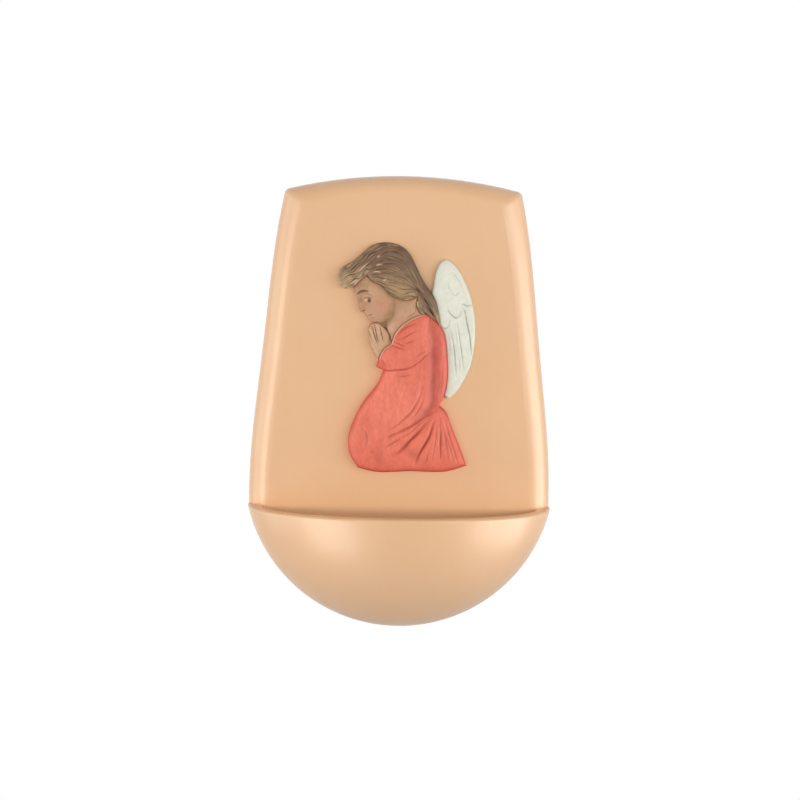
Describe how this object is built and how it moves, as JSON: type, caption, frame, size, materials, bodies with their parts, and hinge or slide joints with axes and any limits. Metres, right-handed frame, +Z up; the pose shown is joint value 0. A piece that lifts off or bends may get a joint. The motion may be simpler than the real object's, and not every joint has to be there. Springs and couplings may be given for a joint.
{
  "type": "holy water font",
  "caption": "Wall-hung holy water font: tapered board with a half-round bowl, a lift-out water liner and a painted carving of a kneeling angel.",
  "frame": {"origin": "on the wall plane, at mid width and mid height of the font's flat back", "axes": "+Z up, +Y out of the back towards the wall, so the front with the carving and the bowl faces -Y; +X is to the right seen from the front"},
  "size_m": [0.1008, 0.047, 0.15],
  "materials": {
    "peach_lacquer": "satin lacquer over stain, no open grain",
    "bare_beech": "bare turned dowel",
    "liner_plastic": "moulded, gloss",
    "hanger_steel": "zinc plated",
    "robe_paint": "matt paint with a dark wash in the folds",
    "hair_paint": "matt paint with lighter strands",
    "skin_paint": "matt paint",
    "wing_paint": "matt paint with a grey-green wash in the grooves"
  },
  "bodies": {
    "font": {"back_board": "peach_lacquer", "bowl": "peach_lacquer", "bowl_dowels": "bare_beech", "hanger_plate": "hanger_steel", "hanger_screws": "hanger_steel", "relief_pins": "bare_beech", "robe": "robe_paint", "sleeve": "robe_paint", "hair": "hair_paint", "face_and_neck": "skin_paint", "hands": "skin_paint", "wing": "wing_paint"},
    "liner": {"water_liner": "liner_plastic"}
  },
  "joints": [
    {"name": "liner_lift", "type": "slide", "parent": "font", "child": "liner", "axis": [0, -0.2079, 0.9781], "range_m": [0, 0.06]}
  ]
}
